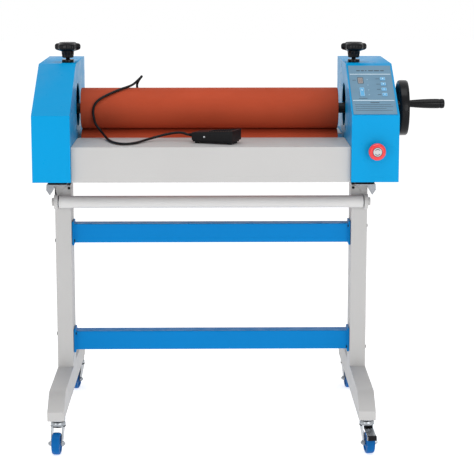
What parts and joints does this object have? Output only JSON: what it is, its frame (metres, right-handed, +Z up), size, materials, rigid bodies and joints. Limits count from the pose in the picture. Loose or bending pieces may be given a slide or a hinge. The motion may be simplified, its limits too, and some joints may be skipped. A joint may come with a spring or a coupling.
{
  "type": "cold roll laminator",
  "caption": "Electric cold roll laminator on a wheeled stand: silicone rollers between sheet-metal casings, flat beds, pressure knobs, handwheel and foot pedal.",
  "frame": {"origin": "centre of the footprint at floor level", "axes": "+X along the rollers towards the handwheel, +Y from the feed side to the back, +Z up"},
  "size_m": [0.995, 0.6784, 0.948],
  "materials": {
    "casing_blue": "semi-gloss azure powder coat",
    "crossbar_blue": "semi-gloss blue powder coat",
    "stand_grey": "light warm grey powder coat",
    "frame_steel": "cut and machined steel",
    "roller_steel": "turned steel",
    "silicone": "matt brick-red silicone",
    "zinc": "bright zinc plate",
    "wheel_blue": "blue moulded tread and core",
    "black_plastic": "satin black moulding",
    "motor_black": "black painted casting",
    "pad_rubber": "matt black rubber",
    "cord_pvc": "black flexible sheath",
    "estop_red": "glossy red moulding",
    "panel_film": "grey-blue printed film",
    "key_film": "blue raised key"
  },
  "bodies": {
    "machine": {"leg_left": "stand_grey", "stand_plate_left": "frame_steel", "rubber_pad_left": "pad_rubber", "casing_left": "casing_blue", "side_frame_left": "frame_steel", "lower_bearing_left": "frame_steel", "screw_collar_left": "black_plastic", "leg_right": "stand_grey", "stand_plate_right": "frame_steel", "rubber_pad_right": "pad_rubber", "casing_right": "casing_blue", "side_frame_right": "frame_steel", "lower_bearing_right": "frame_steel", "screw_collar_right": "black_plastic", "crossbar_upper": "crossbar_blue", "crossbar_lower": "crossbar_blue", "front_bed": "stand_grey", "rear_bed": "stand_grey", "gearmotor": "motor_black", "control_unit": "motor_black", "control_panel": "panel_film", "estop_base": "black_plastic", "mains_inlet": "black_plastic", "pedal_socket": "black_plastic", "pedal_base": "black_plastic", "pedal_gland": "pad_rubber", "pedal_cord_coil": "cord_pvc", "pedal_plug": "black_plastic"},
    "carriage": {"top_bearing_block_left": "frame_steel", "top_bearing_block_right": "frame_steel", "pedal_cord": "cord_pvc"},
    "top_roller": {"top_roller_core": "roller_steel", "top_roller_sleeve": "silicone", "handwheel": "black_plastic"},
    "crank_grip": {"handle_grip": "black_plastic"},
    "lower_roller": {"lower_roller_core": "roller_steel", "lower_roller_sleeve": "silicone", "lower_roller_gear": "frame_steel"},
    "pinion": {"motor_pinion": "frame_steel"},
    "unwind_bar": {"media_bar": "stand_grey"},
    "left_knob": {"pressure_knob_left": "black_plastic"},
    "right_knob": {"pressure_knob_right": "black_plastic"},
    "stop_plunger": {"estop_plunger": "frame_steel"},
    "stop_head": {"estop_head": "estop_red"},
    "treadle": {"pedal_treadle": "black_plastic"},
    "key_run_body": {"key_run": "key_film"},
    "key_forward_body": {"key_forward": "key_film"},
    "key_reverse_body": {"key_reverse": "key_film"},
    "key_faster_body": {"key_faster": "key_film"},
    "key_slower_body": {"key_slower": "key_film"},
    "fork_front_left": {"caster_fork_front_left": "zinc"},
    "wheel_front_left": {"caster_wheel_front_left": "wheel_blue"},
    "fork_front_right": {"caster_fork_front_right": "zinc"},
    "wheel_front_right": {"caster_wheel_front_right": "wheel_blue"},
    "fork_rear_left": {"caster_fork_rear_left": "zinc"},
    "wheel_rear_left": {"caster_wheel_rear_left": "wheel_blue"},
    "fork_rear_right": {"caster_fork_rear_right": "zinc"},
    "wheel_rear_right": {"caster_wheel_rear_right": "wheel_blue"},
    "brake_front_right": {"brake_lever_front_right": "zinc"},
    "brake_rear_left": {"brake_lever_rear_left": "zinc"}
  },
  "joints": [
    {"name": "top_roller_lift", "type": "slide", "parent": "machine", "child": "carriage", "axis": [0, 0, 1], "range_m": [0, 0.02]},
    {"name": "left_knob_turn", "type": "hinge", "parent": "carriage", "child": "left_knob", "pos_m": [-0.4315, 0.00319, 0.93], "axis": [0, 0, 1], "range_deg": [0, 3602]},
    {"name": "right_knob_turn", "type": "hinge", "parent": "carriage", "child": "right_knob", "pos_m": [0.2665, 0.00319, 0.93], "axis": [0, 0, 1], "range_deg": [0, 3602]},
    {"name": "lower_roller_spin", "type": "hinge", "parent": "machine", "child": "lower_roller", "pos_m": [-0.0825, 0.00319, 0.6847], "axis": [1, 0, 0], "continuous": true},
    {"name": "top_roller_spin", "type": "hinge", "parent": "carriage", "child": "top_roller", "pos_m": [-0.0825, 0.00319, 0.785], "axis": [1, 0, 0], "continuous": true},
    {"name": "motor_pinion_spin", "type": "hinge", "parent": "machine", "child": "pinion", "pos_m": [0.2945, 0.05151, 0.72094], "axis": [1, 0, 0], "continuous": true},
    {"name": "crank_grip_spin", "type": "hinge", "parent": "top_roller", "child": "crank_grip", "pos_m": [0.4475, 0.04936, 0.79057], "axis": [1, 0, 0], "continuous": true},
    {"name": "unwind_bar_spin", "type": "hinge", "parent": "machine", "child": "unwind_bar", "pos_m": [-0.0825, -0.04281, 0.5595], "axis": [1, 0, 0], "continuous": true},
    {"name": "stop_press", "type": "slide", "parent": "machine", "child": "stop_plunger", "axis": [0, 1, 0], "range_m": [0, 0.004]},
    {"name": "stop_twist", "type": "hinge", "parent": "stop_plunger", "child": "stop_head", "pos_m": [0.3011, -0.26681, 0.7098], "axis": [0, 1, 0], "range_deg": [0, 40], "stiffness_Nm_per_rad": 0.05},
    {"name": "key_run_press", "type": "slide", "parent": "machine", "child": "key_run_body", "axis": [0, 0.4702, -0.8825], "range_m": [0, 0.0005], "stiffness_N_per_m": 300},
    {"name": "key_forward_press", "type": "slide", "parent": "machine", "child": "key_forward_body", "axis": [0, 0.4702, -0.8825], "range_m": [0, 0.0005], "stiffness_N_per_m": 300},
    {"name": "key_reverse_press", "type": "slide", "parent": "machine", "child": "key_reverse_body", "axis": [0, 0.4702, -0.8825], "range_m": [0, 0.0005], "stiffness_N_per_m": 300},
    {"name": "key_faster_press", "type": "slide", "parent": "machine", "child": "key_faster_body", "axis": [0, 0.4702, -0.8825], "range_m": [0, 0.0005], "stiffness_N_per_m": 300},
    {"name": "key_slower_press", "type": "slide", "parent": "machine", "child": "key_slower_body", "axis": [0, 0.4702, -0.8825], "range_m": [0, 0.0005], "stiffness_N_per_m": 300},
    {"name": "pedal_press", "type": "hinge", "parent": "machine", "child": "treadle", "pos_m": [-0.08819, -0.14188, 0.733], "axis": [0.3907, 0.9205, 0], "range_deg": [0, 5], "stiffness_Nm_per_rad": 3, "springref_deg": -5.73},
    {"name": "swivel_front_left", "type": "hinge", "parent": "machine", "child": "fork_front_left", "pos_m": [-0.445, -0.27981, 0.07], "axis": [0, 0, 1], "continuous": true},
    {"name": "roll_front_left", "type": "hinge", "parent": "fork_front_left", "child": "wheel_front_left", "pos_m": [-0.44674, -0.30474, 0.026], "axis": [-0.9976, 0.0698, 0], "continuous": true},
    {"name": "swivel_front_right", "type": "hinge", "parent": "machine", "child": "fork_front_right", "pos_m": [0.2845, -0.27981, 0.07], "axis": [0, 0, 1], "continuous": true},
    {"name": "roll_front_right", "type": "hinge", "parent": "fork_front_right", "child": "wheel_front_right", "pos_m": [0.28798, -0.30456, 0.026], "axis": [-0.9903, -0.1392, 0], "continuous": true},
    {"name": "swivel_rear_left", "type": "hinge", "parent": "machine", "child": "fork_rear_left", "pos_m": [-0.445, 0.30819, 0.07], "axis": [0, 0, 1], "continuous": true},
    {"name": "roll_rear_left", "type": "hinge", "parent": "fork_rear_left", "child": "wheel_rear_left", "pos_m": [-0.4502, 0.28374, 0.026], "axis": [-0.9781, 0.2079, 0], "continuous": true},
    {"name": "swivel_rear_right", "type": "hinge", "parent": "machine", "child": "fork_rear_right", "pos_m": [0.2845, 0.30819, 0.07], "axis": [0, 0, 1], "continuous": true},
    {"name": "roll_rear_right", "type": "hinge", "parent": "fork_rear_right", "child": "wheel_rear_right", "pos_m": [0.28711, 0.28333, 0.026], "axis": [-0.9945, -0.1045, 0], "continuous": true},
    {"name": "brake_front_right_tread", "type": "hinge", "parent": "fork_front_right", "child": "brake_front_right", "pos_m": [0.28589, -0.28971, 0.0605], "axis": [0.9903, 0.1392, 0], "range_deg": [0, 3]},
    {"name": "brake_rear_left_tread", "type": "hinge", "parent": "fork_rear_left", "child": "brake_rear_left", "pos_m": [-0.44708, 0.29841, 0.0605], "axis": [0.9781, -0.2079, 0], "range_deg": [0, 3]}
  ],
  "couplings": [
    {"joint": "left_knob_turn", "follows": "top_roller_lift", "rad_per_m": 3141.6},
    {"joint": "right_knob_turn", "follows": "top_roller_lift", "rad_per_m": 3141.6},
    {"joint": "top_roller_spin", "follows": "lower_roller_spin", "ratio": -1},
    {"joint": "motor_pinion_spin", "follows": "lower_roller_spin", "ratio": -1.4}
  ]
}
